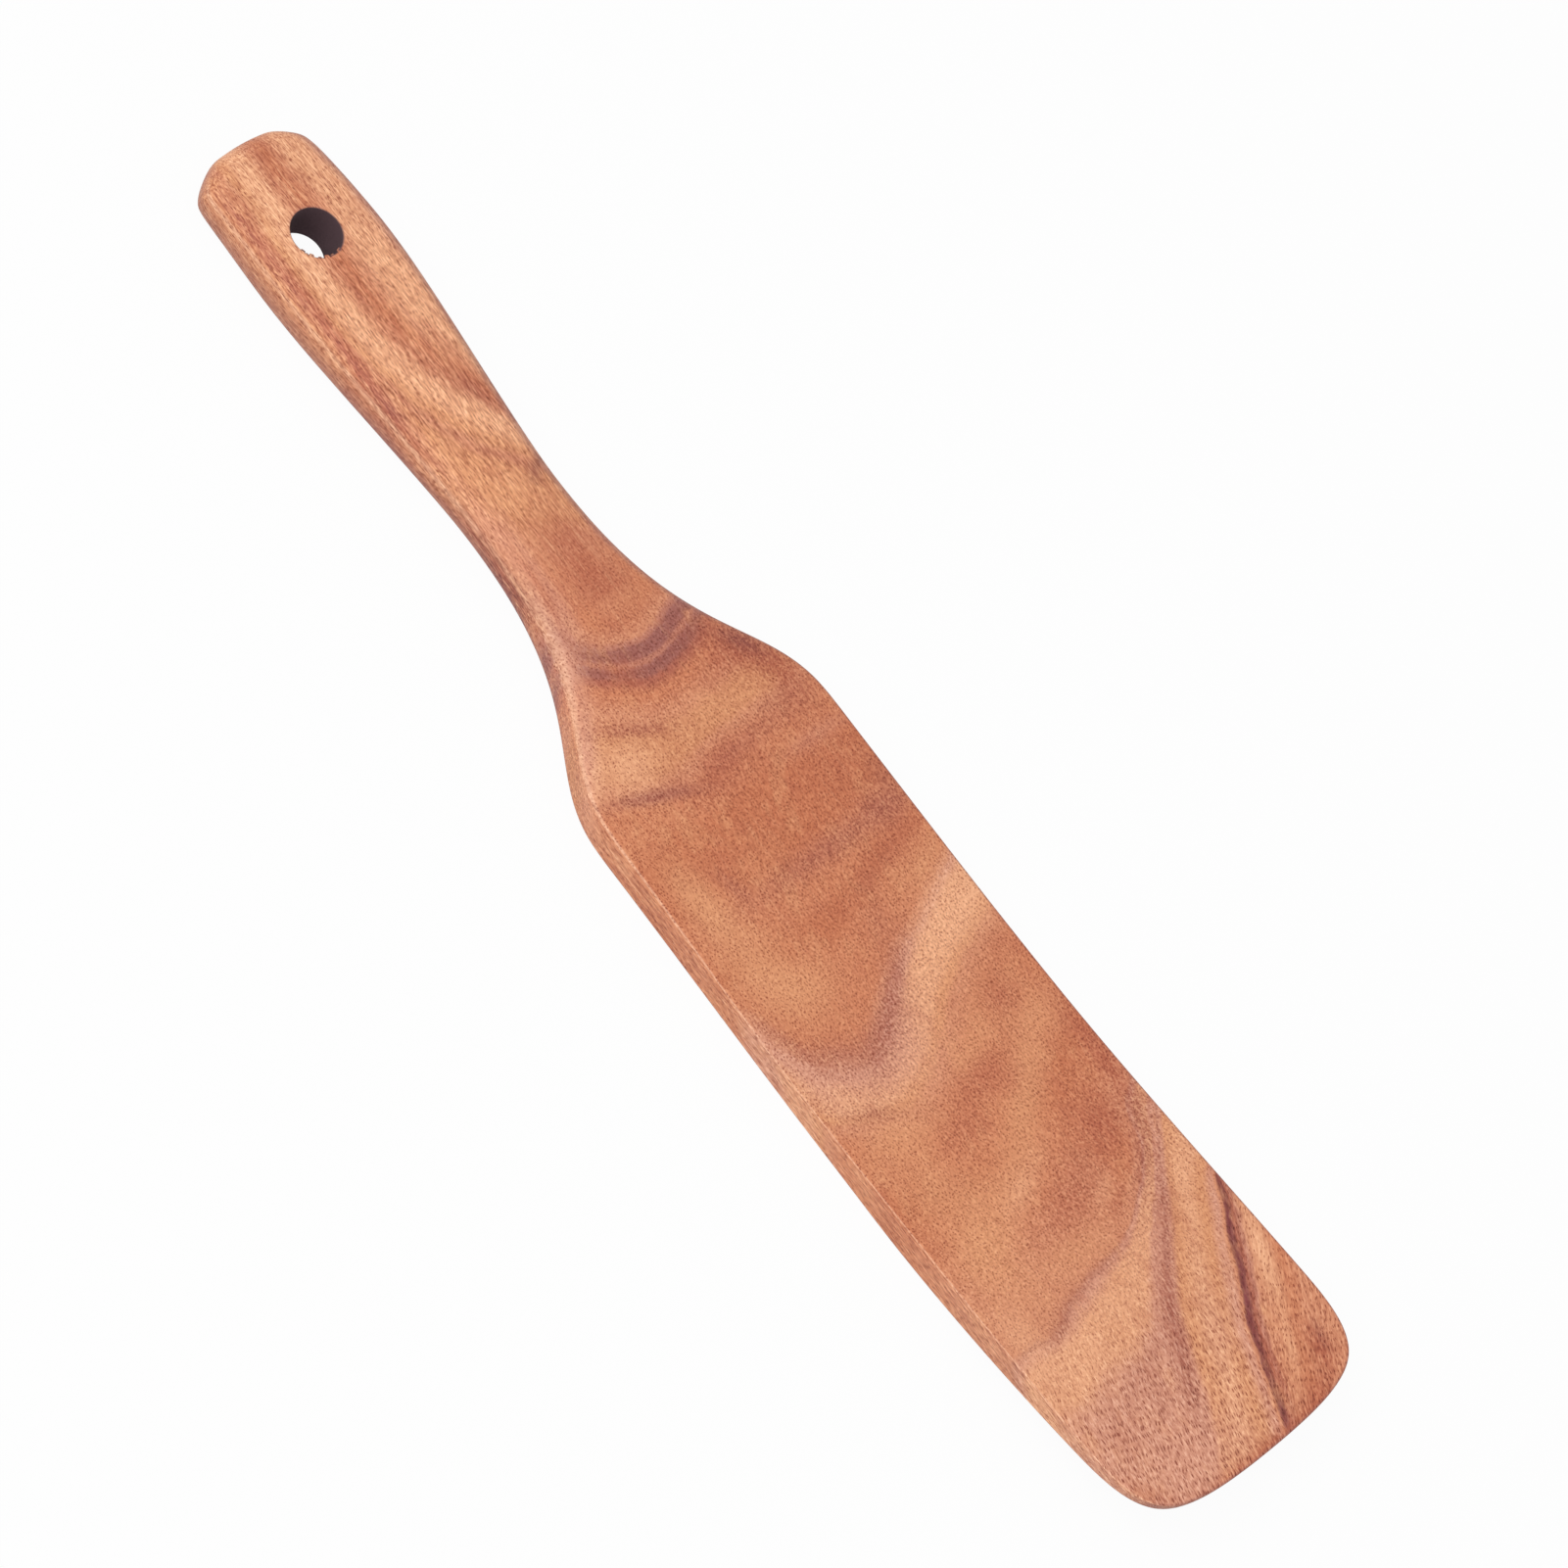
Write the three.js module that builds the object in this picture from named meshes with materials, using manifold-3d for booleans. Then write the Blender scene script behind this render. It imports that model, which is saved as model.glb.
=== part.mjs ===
import * as THREE from 'three';
import { mergeVertices } from 'three/addons/utils/BufferGeometryUtils.js';
import Module from 'manifold-3d';

// Wooden spatula, carved from one board: a rounded handle with a hanging hole, a neck that flares into
// the shoulders, and a long flat blade whose thin tip sweeps up.
// Millimetres. +X runs from the handle end to the tip, and the flat back lies on z = 0.

// Lengths along the board, from one station to the next
const GRIP_LENGTH = 29; // handle end to the widest part of the handle
const NECK_LENGTH = 54.5; // widest part of the handle to the waist
const FLARE_LENGTH = 60.5; // waist to the shoulder
const BLADE_LENGTH = 156; // shoulder to the tip

// Widths across the board at those stations
const END_WIDTH = 26.2;
const GRIP_WIDTH = 27.4;
const WAIST_WIDTH = 20.6;
const SHOULDER_WIDTH = 56.8;
const BLADE_WIDTH = 58.3;
const TIP_WIDTH = 60.2;

// Rounded corners of the handle end and of the tip, and the ease of the curves between the stations
const END_CORNER_DEPTH = 8.5;
const END_CORNER_PULL = 3.7;
const END_FLATNESS = 11.4;
const HANDLE_EASE = 13;
const WAIST_EASE = 39;
const SHOULDER_EASE = 19;
const BLADE_EASE = 22;
const TIP_CORNER_DEPTH = 20;
const TIP_CORNER_PULL = 17.4;
const TIP_FLATNESS = 25.5;

// Heights above the back
const END_HEIGHT = 9;
const GRIP_HEIGHT = 10.2;
const WAIST_HEIGHT = 8;
const SHOULDER_HEIGHT = 7.3;
const BLADE_HEIGHT = 6.1;
const TIP_HEIGHT = 12.8;
const TIP_THICKNESS = 1.4;
const TIP_RISE_LENGTH = 73; // how far from the tip the back leaves the flat
const TIP_RISE_CURVE = 1.5;
const GRIP_CROWN = 0.3; // how far the middle of the top face stands above its edges
const NECK_CROWN = 1.4;

// Rounding of the long edges: large on the handle, only eased on the blade
const TOP_EDGE_REACH = 3.4;
const TOP_EDGE_DROP = 3;
const BACK_EDGE_RADIUS = 3;
const BLADE_EDGE_EASE = 0.6;
const EDGE_SHARE_OF_WALL = 0.45;
const EDGE_SHARE_OF_HALF_WIDTH = 0.8;

// Hanging hole
const HOLE_DIAMETER = 10.2;
const HOLE_FROM_END = 22.4;
const HOLE_ASIDE = 0.9; // towards -Y from the middle line
const HOLE_EDGE_EASE = 0.4;
const HOLE_OVERCUT = 2;

// Fineness of the surface
const CURVE_STEPS = 14;
const EDGE_STEPS = 4;
const FACE_STEPS = [1, 0.66, 0.33];
const HOLE_SIDES = 40;
const MERGE_DISTANCE = 1e-4;

// Stations, with the origin below the middle of the length
const LENGTH = GRIP_LENGTH + NECK_LENGTH + FLARE_LENGTH + BLADE_LENGTH;
const endX = -LENGTH / 2;
const gripX = endX + GRIP_LENGTH;
const waistX = gripX + NECK_LENGTH;
const shoulderX = waistX + FLARE_LENGTH;
const tipX = shoulderX + BLADE_LENGTH;
const tipCornerX = tipX - TIP_CORNER_DEPTH;
const riseX = tipX - TIP_RISE_LENGTH;
const bladeX = (shoulderX + tipCornerX) / 2;

// One side of the outline, from the middle of the handle end to the middle of the tip
function halfOutline() {
  const endCornerX = endX + END_CORNER_DEPTH;
  const endSlope = (GRIP_WIDTH - END_WIDTH) / 2 / (gripX - endCornerX);
  const path = new THREE.Path();
  path.moveTo(endX, 0);
  path.bezierCurveTo(
    endX, END_FLATNESS,
    endCornerX - END_CORNER_PULL, END_WIDTH / 2 - endSlope * END_CORNER_PULL,
    endCornerX, END_WIDTH / 2,
  );
  path.bezierCurveTo(
    endCornerX + END_CORNER_DEPTH, END_WIDTH / 2 + endSlope * END_CORNER_DEPTH,
    gripX - END_CORNER_DEPTH, GRIP_WIDTH / 2,
    gripX, GRIP_WIDTH / 2,
  );
  path.bezierCurveTo(
    gripX + HANDLE_EASE, GRIP_WIDTH / 2,
    waistX - HANDLE_EASE, WAIST_WIDTH / 2,
    waistX, WAIST_WIDTH / 2,
  );
  path.bezierCurveTo(
    waistX + WAIST_EASE, WAIST_WIDTH / 2,
    shoulderX - SHOULDER_EASE, SHOULDER_WIDTH / 2,
    shoulderX, SHOULDER_WIDTH / 2,
  );
  path.bezierCurveTo(
    shoulderX + BLADE_EASE, SHOULDER_WIDTH / 2,
    bladeX - BLADE_EASE, BLADE_WIDTH / 2,
    bladeX, BLADE_WIDTH / 2,
  );
  path.bezierCurveTo(
    bladeX + BLADE_EASE, BLADE_WIDTH / 2,
    tipCornerX - BLADE_EASE, TIP_WIDTH / 2,
    tipCornerX, TIP_WIDTH / 2,
  );
  path.bezierCurveTo(
    tipCornerX + TIP_CORNER_PULL, TIP_WIDTH / 2,
    tipX, TIP_FLATNESS,
    tipX, 0,
  );
  return path.getPoints(CURVE_STEPS);
}

// Height of the top face along its edges
const topCurve = new THREE.CubicInterpolant(
  [endX, gripX, waistX, shoulderX, bladeX, tipX],
  [END_HEIGHT, GRIP_HEIGHT, WAIST_HEIGHT, SHOULDER_HEIGHT, BLADE_HEIGHT, TIP_HEIGHT],
  1,
);

function topHeight(x) {
  return topCurve.evaluate(x)[0];
}

// Height of the back, flat until it sweeps up to meet the thin tip
function backHeight(x) {
  const along = THREE.MathUtils.clamp((x - riseX) / TIP_RISE_LENGTH, 0, 1);
  return (TIP_HEIGHT - TIP_THICKNESS) * Math.pow(along, TIP_RISE_CURVE);
}

// How far the top face swells in the middle: most at the neck, dying out along the blade
function topCrown(x) {
  const handle = THREE.MathUtils.lerp(GRIP_CROWN, NECK_CROWN, THREE.MathUtils.smoothstep(x, gripX, waistX));
  return handle * (1 - THREE.MathUtils.smoothstep(x, waistX, bladeX));
}

// Size of an edge rounding, which fades from the handle to the shoulder
function edgeSize(handleSize, x, limit) {
  const fade = THREE.MathUtils.smoothstep(x, waistX, shoulderX);
  return Math.min(THREE.MathUtils.lerp(handleSize, BLADE_EDGE_EASE, fade), limit);
}

// Points of one slice, from the spine on the back, round the edge, to the spine on the top face
function slice(edge) {
  const spine = new THREE.Vector2(
    THREE.MathUtils.clamp(edge.x, endX + END_WIDTH / 2, tipX - TIP_WIDTH / 2),
    0,
  );
  const halfWidth = edge.distanceTo(spine);
  const wall = topHeight(edge.x) - backHeight(edge.x);
  const deepest = EDGE_SHARE_OF_WALL * wall;
  const widest = EDGE_SHARE_OF_HALF_WIDTH * halfWidth;
  const place = (inset, faceHeight, drop) => {
    const spot = edge.clone().lerp(spine, inset / halfWidth);
    return new THREE.Vector3(spot.x, spot.y, faceHeight(spot.x) + drop);
  };
  const face = (faceHeight, reach, drop, bulge) => {
    const points = [];
    for (const share of FACE_STEPS) {
      const inset = reach + share * (halfWidth - reach);
      points.push(place(inset, faceHeight, bulge * (1 - (1 - inset / halfWidth) ** 2)));
    }
    for (let step = 0; step <= EDGE_STEPS; step++) {
      const turn = (step / EDGE_STEPS) * Math.PI / 2;
      const inset = reach * (1 - Math.sin(turn));
      const rise = bulge * (1 - (1 - inset / halfWidth) ** 2);
      points.push(place(inset, faceHeight, rise + drop * (1 - Math.cos(turn))));
    }
    return points;
  };
  const back = face(
    backHeight,
    edgeSize(BACK_EDGE_RADIUS, edge.x, widest),
    edgeSize(BACK_EDGE_RADIUS, edge.x, deepest),
    0,
  );
  const top = face(
    topHeight,
    edgeSize(TOP_EDGE_REACH, edge.x, widest),
    -edgeSize(TOP_EDGE_DROP, edge.x, deepest),
    topCrown(edge.x),
  );
  return [...back, ...top.reverse()];
}

// The whole board as one closed skin of slices, which meet along the spine
function boardGeometry() {
  const side = halfOutline();
  const otherSide = side.slice(1, -1).reverse().map((p) => new THREE.Vector2(p.x, -p.y));
  const slices = [...side, ...otherSide].map(slice);
  const rows = slices[0].length;
  const index = [];
  slices.forEach((_, at) => {
    const here = at * rows;
    const next = ((at + 1) % slices.length) * rows;
    for (let row = 0; row < rows - 1; row++) {
      index.push(here + row, here + row + 1, next + row + 1);
      index.push(here + row, next + row + 1, next + row);
    }
  });
  const geometry = new THREE.BufferGeometry().setFromPoints(slices.flat());
  geometry.setIndex(index);
  return geometry;
}

// The drill, with both rims eased at 45 degrees
function holeGeometry(height) {
  const radius = HOLE_DIAMETER / 2;
  const wide = radius + HOLE_EDGE_EASE + HOLE_OVERCUT;
  const profile = [
    new THREE.Vector2(0, -HOLE_OVERCUT),
    new THREE.Vector2(wide, -HOLE_OVERCUT),
    new THREE.Vector2(radius, HOLE_EDGE_EASE),
    new THREE.Vector2(radius, height - HOLE_EDGE_EASE),
    new THREE.Vector2(wide, height + HOLE_OVERCUT),
    new THREE.Vector2(0, height + HOLE_OVERCUT),
  ];
  return new THREE.LatheGeometry(profile, HOLE_SIDES).rotateX(Math.PI / 2);
}

const wasm = await Module();
wasm.setup();

function toSolid(geometry) {
  geometry.deleteAttribute('normal');
  geometry.deleteAttribute('uv');
  const merged = mergeVertices(geometry, MERGE_DISTANCE);
  const corners = merged.index.array;
  const triangles = [];
  for (let at = 0; at < corners.length; at += 3) {
    const [a, b, c] = corners.slice(at, at + 3);
    if (a !== b && b !== c && c !== a) triangles.push(a, b, c);
  }
  return new wasm.Manifold(new wasm.Mesh({
    numProp: 3,
    vertProperties: merged.attributes.position.array,
    triVerts: new Uint32Array(triangles),
  }));
}

function toGeometry(solid) {
  const mesh = solid.getMesh();
  const geometry = new THREE.BufferGeometry();
  geometry.setAttribute('position', new THREE.BufferAttribute(mesh.vertProperties, 3));
  geometry.setIndex(new THREE.BufferAttribute(mesh.triVerts, 1));
  geometry.computeVertexNormals();
  return geometry;
}

function spatulaBody() {
  const holeX = endX + HOLE_FROM_END;
  const drill = holeGeometry(topHeight(holeX) + topCrown(holeX)).translate(holeX, -HOLE_ASIDE, 0);
  const carved = toSolid(boardGeometry()).subtract(toSolid(drill));
  const wood = new THREE.MeshStandardMaterial({ color: 0xc58a5e, roughness: 0.5, metalness: 0 });
  const body = new THREE.Mesh(toGeometry(carved), wood);
  body.name = 'spatula_body';
  return body;
}

const spatula = new THREE.Group();
spatula.add(spatulaBody());

export default spatula;
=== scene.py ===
import math

import bmesh
import bpy
import numpy as np
from mathutils import Color, Matrix, Vector
from mathutils.kdtree import KDTree


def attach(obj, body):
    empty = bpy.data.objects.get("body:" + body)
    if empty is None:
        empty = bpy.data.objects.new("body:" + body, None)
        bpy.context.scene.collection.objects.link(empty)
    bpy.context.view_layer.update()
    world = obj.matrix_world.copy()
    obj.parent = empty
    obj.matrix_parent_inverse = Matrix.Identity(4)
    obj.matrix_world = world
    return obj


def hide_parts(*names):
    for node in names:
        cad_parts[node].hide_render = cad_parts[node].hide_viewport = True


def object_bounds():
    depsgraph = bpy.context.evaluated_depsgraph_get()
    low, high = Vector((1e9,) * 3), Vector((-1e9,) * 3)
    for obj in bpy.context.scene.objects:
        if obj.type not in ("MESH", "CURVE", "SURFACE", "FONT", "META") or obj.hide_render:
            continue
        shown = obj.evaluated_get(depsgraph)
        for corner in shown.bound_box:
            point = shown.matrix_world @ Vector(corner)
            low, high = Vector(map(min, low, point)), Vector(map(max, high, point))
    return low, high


# Wooden spatula, carved from one board of figured hardwood, sanded and oiled.
# Sizes are in millimetres, and MM turns them into Blender's metres.
# +X runs from the handle end to the tip, and the flat back lies on z = 0.

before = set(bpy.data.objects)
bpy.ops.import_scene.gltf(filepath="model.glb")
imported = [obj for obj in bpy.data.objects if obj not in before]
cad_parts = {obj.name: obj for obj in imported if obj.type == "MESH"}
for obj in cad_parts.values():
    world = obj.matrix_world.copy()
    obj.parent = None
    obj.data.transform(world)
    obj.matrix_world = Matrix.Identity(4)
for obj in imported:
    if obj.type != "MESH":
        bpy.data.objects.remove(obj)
cad_low, cad_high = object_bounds()

MM = 0.001

# Stations along the board and half widths there, a hair inside the CAD box
HAIR = 0.03
GRIP_LENGTH = 29
NECK_LENGTH = 54.5
FLARE_LENGTH = 60.5
END_X = cad_low.x / MM + HAIR
TIP_X = cad_high.x / MM - HAIR
GRIP_X = END_X + GRIP_LENGTH
WAIST_X = GRIP_X + NECK_LENGTH
SHOULDER_X = WAIST_X + FLARE_LENGTH
END_HALF_WIDTH = 13.1
GRIP_HALF_WIDTH = 13.7
WAIST_HALF_WIDTH = 10.3
SHOULDER_HALF_WIDTH = 28.4
BLADE_HALF_WIDTH = 29.15
TIP_HALF_WIDTH = cad_high.y / MM - HAIR

# Rounded corners of the handle end and of the tip, and the ease of the curves between the stations
END_CORNER_DEPTH = 8.5
END_CORNER_PULL = 3.7
END_FLATNESS = 11.4
HANDLE_EASE = 13
WAIST_EASE = 39
SHOULDER_EASE = 19
BLADE_EASE = 22
TIP_CORNER_DEPTH = 20
TIP_CORNER_PULL = 17.4
TIP_FLATNESS = 25.5
END_CORNER_X = END_X + END_CORNER_DEPTH
TIP_CORNER_X = TIP_X - TIP_CORNER_DEPTH
BLADE_X = (SHOULDER_X + TIP_CORNER_X) / 2
CURVE_STEPS = 200

# Heights above the back
TOP_STATIONS = [END_X, GRIP_X, WAIST_X, SHOULDER_X, BLADE_X, TIP_X]
TOP_HEIGHTS = [9, 10.2, 8, 7.3, 6.1, 12.8]
TIP_THICKNESS = 1.4
TIP_RISE_LENGTH = 73
TIP_RISE_CURVE = 1.5
GRIP_CROWN = 0.3
NECK_CROWN = 1.4

# Rounded long edges: full on the handle, only eased on the blade
HANDLE_EDGE = 3.2
BLADE_EDGE = 0.4
EDGE_SHARE_OF_WALL = 0.45
EDGE_SEGMENTS = 2
EDGE_SUPPORT = 0.9
EDGE_SWELL = 0.125
ROUNDING_DELAY = 14
BEVEL_SLOT = 1
# Share of its stand-off from its neighbours by which smoothing draws a point in
SMOOTHING_PULL = 1 / 3
# Angles that count as sharp and that shade as smooth, and how upright normals are on faces and drill ends
SHARP_ANGLE = math.radians(60)
SMOOTH_ANGLE = math.radians(40)
FACE_TILT = 0.7
CAP_TILT = 0.9

# Layout of the blank: rows across the board as shares of its half width, which lie further out
# on the blade, and columns on each curve of the outline
HANDLE_ROWS = [-1, -0.6, -0.38, -0.18, 0, 0.18, 0.38, 0.6, 1]
BLADE_ROWS = [-1, -0.88, -0.66, -0.34, 0, 0.34, 0.66, 0.88, 1]
END_CORNER_SHARE = 0.6
TIP_CORNER_SHARE = 0.48
COLUMNS = {"end": 2, "grip": 4, "neck": 6, "flare": 11, "blade": 8, "tip side": 8, "tip": 5}
END_BOW_REACH = 4.6
TIP_BOW_REACH = 24
BLANK_DEPTH = 5
SUBDIVISIONS = 3
# Uneven sanding of the handle end's far corner: column, and how far its point moves across the board
SANDED_CORNER = [(0, -0.6), (1, -0.5), (2, -0.25)]

# Hanging hole, with fibres torn at its rim: direction and half width in degrees, and reach inwards
HOLE_FROM_END = 22.4
HOLE_X = cad_low.x / MM + HOLE_FROM_END
HOLE_Y = -0.9
HOLE_RADIUS = 5.1
HOLE_EASE = 0.3
HOLE_OVERCUT = 2
HOLE_SIDES = 144
TORN_DEPTH = 0.8
TORN_FIBRES = [
    (-71, 4, 0.35),
    (-61, 3, 0.2),
    (-51, 4, 0.45),
    (-33, 4, 0.25),
    (-15, 5, 0.5),
    (-2, 4, 0.3),
    (19, 5, 0.35),
]

# Growth lines as they meet the top face: the ring's number, and points along it (x along, y across)
GROWTH_LINES = [
    (0, [(-152, 13), (-130, 14), (-112, 15), (-100, 17)]),
    (1, [(-151, 8), (-132, 8), (-118, 7.5), (-107, 9), (-98, 12)]),
    (2, [(-151, 0.8), (-138, 0.3), (-124, -0.6), (-112, -0.6), (-100, 2), (-90, 6), (-84, 9.5)]),
    (3, [(-151, -3.5), (-135, -4.5), (-118, -6.5), (-104, -5.5), (-94, -2.5), (-85, 2), (-79, 6.5),
         (-75, 11)]),
    (4, [(-149, -10), (-132, -11.5), (-116, -11.5), (-100, -9.8), (-92, -8.5), (-85, -6), (-78, -3),
         (-74, 0.5), (-70, 5.5), (-68, 9)]),
    (5, [(-140, -17), (-115, -17.5), (-95, -14.5), (-82, -10.5), (-73, -6), (-66, -1), (-62, 5),
         (-60, 10)]),
    (6, [(-72, -15), (-60, -9), (-52, -4), (-49, 2), (-49, 8), (-51, 13)]),
    (7, [(-46, -15), (-37.5, -10), (-34.3, -6.5), (-32, -2), (-31.4, 3), (-33, 8), (-35, 13.5),
         (-37, 18)]),
    (8, [(-41, -19), (-34, -12), (-31, -9), (-28.5, -5), (-27, 0), (-27.5, 5), (-28.5, 10), (-31, 15),
         (-33, 20)]),
    (9, [(-30, -24), (-24, -17), (-20, -9), (-17, 0), (-18, 9), (-20, 17), (-24, 25)]),
    (10, [(-16, -30), (-11.5, -24), (-9, -19), (-7.2, -14), (-6, -9.5), (-7.5, -5), (-8.8, -2),
         (-9.5, 4), (-9.8, 10), (-10.3, 18), (-11, 27)]),
    (11, [(2, -30), (1, -15), (1, 0), (2, 15), (1, 29)]),
    (12, [(13, -30), (15, -13), (17, -4), (17, 6), (15, 16), (13, 28)]),
    (13, [(25, -30), (28, -14), (28, 0), (27, 6), (24, 14), (22, 24), (21, 31)]),
    (14, [(31, -30), (38, -27), (44, -24), (47, -21), (50, -17), (52, -13), (50, -9), (47, -6),
         (44, -2), (41, 2.5), (38, 9), (35, 17), (31, 25), (28, 31)]),
    (15, [(50, -30), (55, -25), (58, -17), (57, -10), (53, -1), (46, 8), (42, 17), (37, 26), (35, 31)]),
    (16, [(55, -30), (59, -25), (62, -19), (63, -13), (61, -6), (57, 1), (51, 9), (46.5, 17), (43, 25),
         (41, 31)]),
    (17, [(66, -30), (70, -20), (73, -10), (71, 0), (67, 10), (62, 22), (58, 31)]),
    (18, [(84, -30), (86, -20), (88, -10), (87, 0), (83, 10), (77, 22), (71, 31)]),
    (18.5, [(98, -30), (99, -18), (98, -8), (97, 0), (93, 10), (85, 22), (77, 30)]),
    (19, [(110, -30), (110.3, -24), (111, -20), (109.6, -16), (107.5, -10), (106.3, -4), (105.8, 0),
         (105, 4.5), (103.2, 8.5), (101, 12.2), (98, 16.8), (93.5, 21), (84, 27)]),
    (20, [(118, -30), (118, -18), (116, -8), (113, -1), (109.5, 4.5), (106, 9), (102.5, 13.5),
         (99, 17.8), (94.5, 22), (86.5, 28)]),
    (20.5, [(131, -30), (128.5, -20), (126, -12), (123, -5), (119, 0), (114, 4.5)]),
    (21, [(152, -18), (142, -10.5), (135, -6), (130, -3.5), (125, -0.5), (120.5, 2.2), (116.5, 5.5),
         (112, 9.3), (107.5, 13.7), (103, 17.8), (97, 22.5), (91, 27.2)]),
    (22.5, [(150, -6), (143, -1), (137, 2.5), (130, 5.5), (123, 9.5), (116, 14.5), (109, 20),
         (101, 28)]),
    (24, [(106, 29), (110, 27), (115, 23.5), (120, 20.3), (125, 17.2), (129, 14.2), (133, 12),
         (138, 9.8), (142, 8), (146, 6.3), (149.5, 4.6)]),
    (25, [(118, 31), (126, 25.5), (134, 19.5), (142, 15), (150, 12)]),
    (26, [(130, 32), (138, 27), (146, 22), (152, 19)]),
]

# How the rings run on into the wood: their slant, and the scale and slack of the sheet through the lines
RING_INCLINE = 0.8
FIELD_SCALE = 60
FIELD_SLACK = 1e-4
LEAST_SQUARE = 1e-12

# Blotches that don't follow the rings, by tone: x, y, half length, half width, turn in degrees, strength
BLOTCHES = {
    "straw": [
        (-141, -4.2, 8, 1.2, -2, 0.7),
        (-140, 7, 6, 1.5, 0, 0.5),
        (-114, -6.5, 18, 1.8, 3, 0.65),
        (-111, 8, 17, 1.8, 3, 0.75),
        (-118, 13.5, 20, 1.2, -1, 0.5),
        (-88, 1.8, 13, 1.6, 33, 0.7),
        (-108, 4, 14, 1.6, 3, 0.5),
        (-15, -17, 6, 5, 70, 0.7),
        # This one lies along the shoulder's near rounding: partly paler wood, partly a painted highlight
        (-18, -23, 6, 1.6, -38, 0.8),
        (39, 22, 10, 5.2, -72, 1),
        (42.5, 12, 7, 2.4, -62, 0.6),
        (86, -5, 9, 3, -65, 0.6),
        (95.5, 8, 4, 1.2, -62, 0.4),
        (117, -22, 8, 6, -70, 0.6),
        (107, -25, 5, 4, 0, 0.5),
        (100, 24, 7, 1.5, -38, 0.6),
        (122, 25.7, 10, 1.8, -25, 1),
        (138, 17, 6, 1, -32, 0.7),
    ],
    "honey": [
        (12, -21.5, 9, 4, 12, 0.9),
        (29, -20, 10, 6, 20, 0.75),
        (35, -13, 6, 7, 0, 0.5),
        (12, -6, 5, 6, 0, 0.2),
        (29, 22, 3, 8, 15, 0.5),
        (57, 12, 4, 12, 38, 0.5),
        (62, 23, 5, 6, 0, 0.5),
        (68, 14, 4, 9, 45, 0.7),
        (77, 4, 4, 9, 40, 0.7),
        (66, -18, 5, 9, 0, 0.7),
        (77, -20, 6, 7, 0, 0.5),
        (90, -18, 5, 8, 15, 0.6),
        (83, -10, 5, 9, 0, 0.5),
        (101, -4, 4, 9, 0, 0.5),
        (95, -20, 11, 6, 0, 0.5),
        (62, 4, 2.5, 5, 10, 0.4),
        (-64, -3, 9, 4, 0, 0.5),
        (-15, 6, 3.5, 12, 0, 0.5),
    ],
    "rose": [
        # The first three lie on the near rounding of the neck and shoulder: partly paler wood, partly a
        # painted highlight
        (-54, -7, 12, 1.3, -2, 0.5),
        (-38, -12.5, 9, 2.8, -28, 1),
        (-22, -21.5, 8, 1.8, -38, 0.9),
        (-1, 20, 8, 1.6, 92, 0.4),
        (54, -16, 4, 8, -20, 0.7),
        (51, -5, 8, 3.5, -55, 0.7),
        (47, -26, 9, 2, 10, 0.6),
        (56, -4, 5, 6, 30, 0.3),
        (134, -14, 9, 10, 0, 0.5),
        (144, -14, 6, 12, 0, 0.6),
        (128, 8, 8, 3, -30, 0.4),
    ],
    "russet": [
        (-140, 0.5, 8, 2.8, 0, 0.35),
        (-112, -0.8, 13, 2, 2, 0.35),
        (-110, -11.3, 26, 1.3, 1, 0.9),
        (-136, -11.8, 11, 1.4, -2, 0.5),
        (-95, -10.8, 9, 1.6, 7, 0.5),
        (-89, 5, 8.5, 2.6, 30, 0.7),
        (-6.5, 0, 3, 6, 0, 0.7),
        (-3, -4, 3, 8, 0, 0.4),
        (-29.5, -6, 3, 4.5, -20, 0.6),
        (-20, -11.5, 7, 1.2, 60, 0.4),
        (-73, 2, 7, 1.6, 45, 0.25),
        (-54, 2, 8, 5, 0, 0.7),
        (-46, 1, 3.5, 6, 0, 0.6),
        (-43.3, 3, 0.7, 7, 0, 0.4),
        (-23, 17, 8, 4, 40, 1),
        (-21, 10, 3, 6, 0, 0.5),
        (-14, 23, 7, 4, -10, 0.7),
        (3, 20, 8, 8, 0, 0.3),
        (22, 18, 2, 9, 8, 0.4),
        (50, 22, 3, 7, 25, 0.25),
        (57, 17.5, 4, 5, 0, 0.7),
        (70, 8, 2.5, 4, 0, 0.45),
        (66, 4, 3, 8, 10, 0.7),
        (72, -7, 3, 6, 10, 0.5),
        (75, 27, 12, 2.6, -4, 0.9),
        (86, 17, 7, 6, -35, 0.9),
        (92, 4, 5, 8, 15, 0.5),
        (96, -3, 4, 7, 15, 0.35),
        (99, 9, 4, 1.5, -55, 0.5),
        (141, 22, 4, 2.2, -15, 0.8),
        (141, 11, 7, 1.5, -22, 0.6),
        (144, 20, 5, 5, -30, 0.3),
        (148, 14, 2.5, 6, 20, 0.7),
        (149.5, -5, 1.5, 18, 0, 0.9),
        (143, -26.5, 7, 2, 35, 0.4),
    ],
    "wine": [
        (-94, -11, 4.5, 1.2, 5, 0.35),
        (-69, 6, 3.2, 1.4, -50, 0.6),
        (-7.8, -15.5, 7.5, 1, 68, 0.5),
        (-24.5, 18.5, 5, 2.2, 40, 0.3),
        (-28, 9, 5, 1.4, 105, 0.4),
        (-22, 20, 6, 2.5, 38, 0.4),
        (11, 27, 5, 2.5, 0, 0.3),
        (-60, -11.2, 16, 1.1, -1, 0.8),
        (-88, 5.5, 4, 1.8, 28, 0.25),
        (140, 23.5, 3, 1, -20, 0.4),
    ],
}

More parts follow.
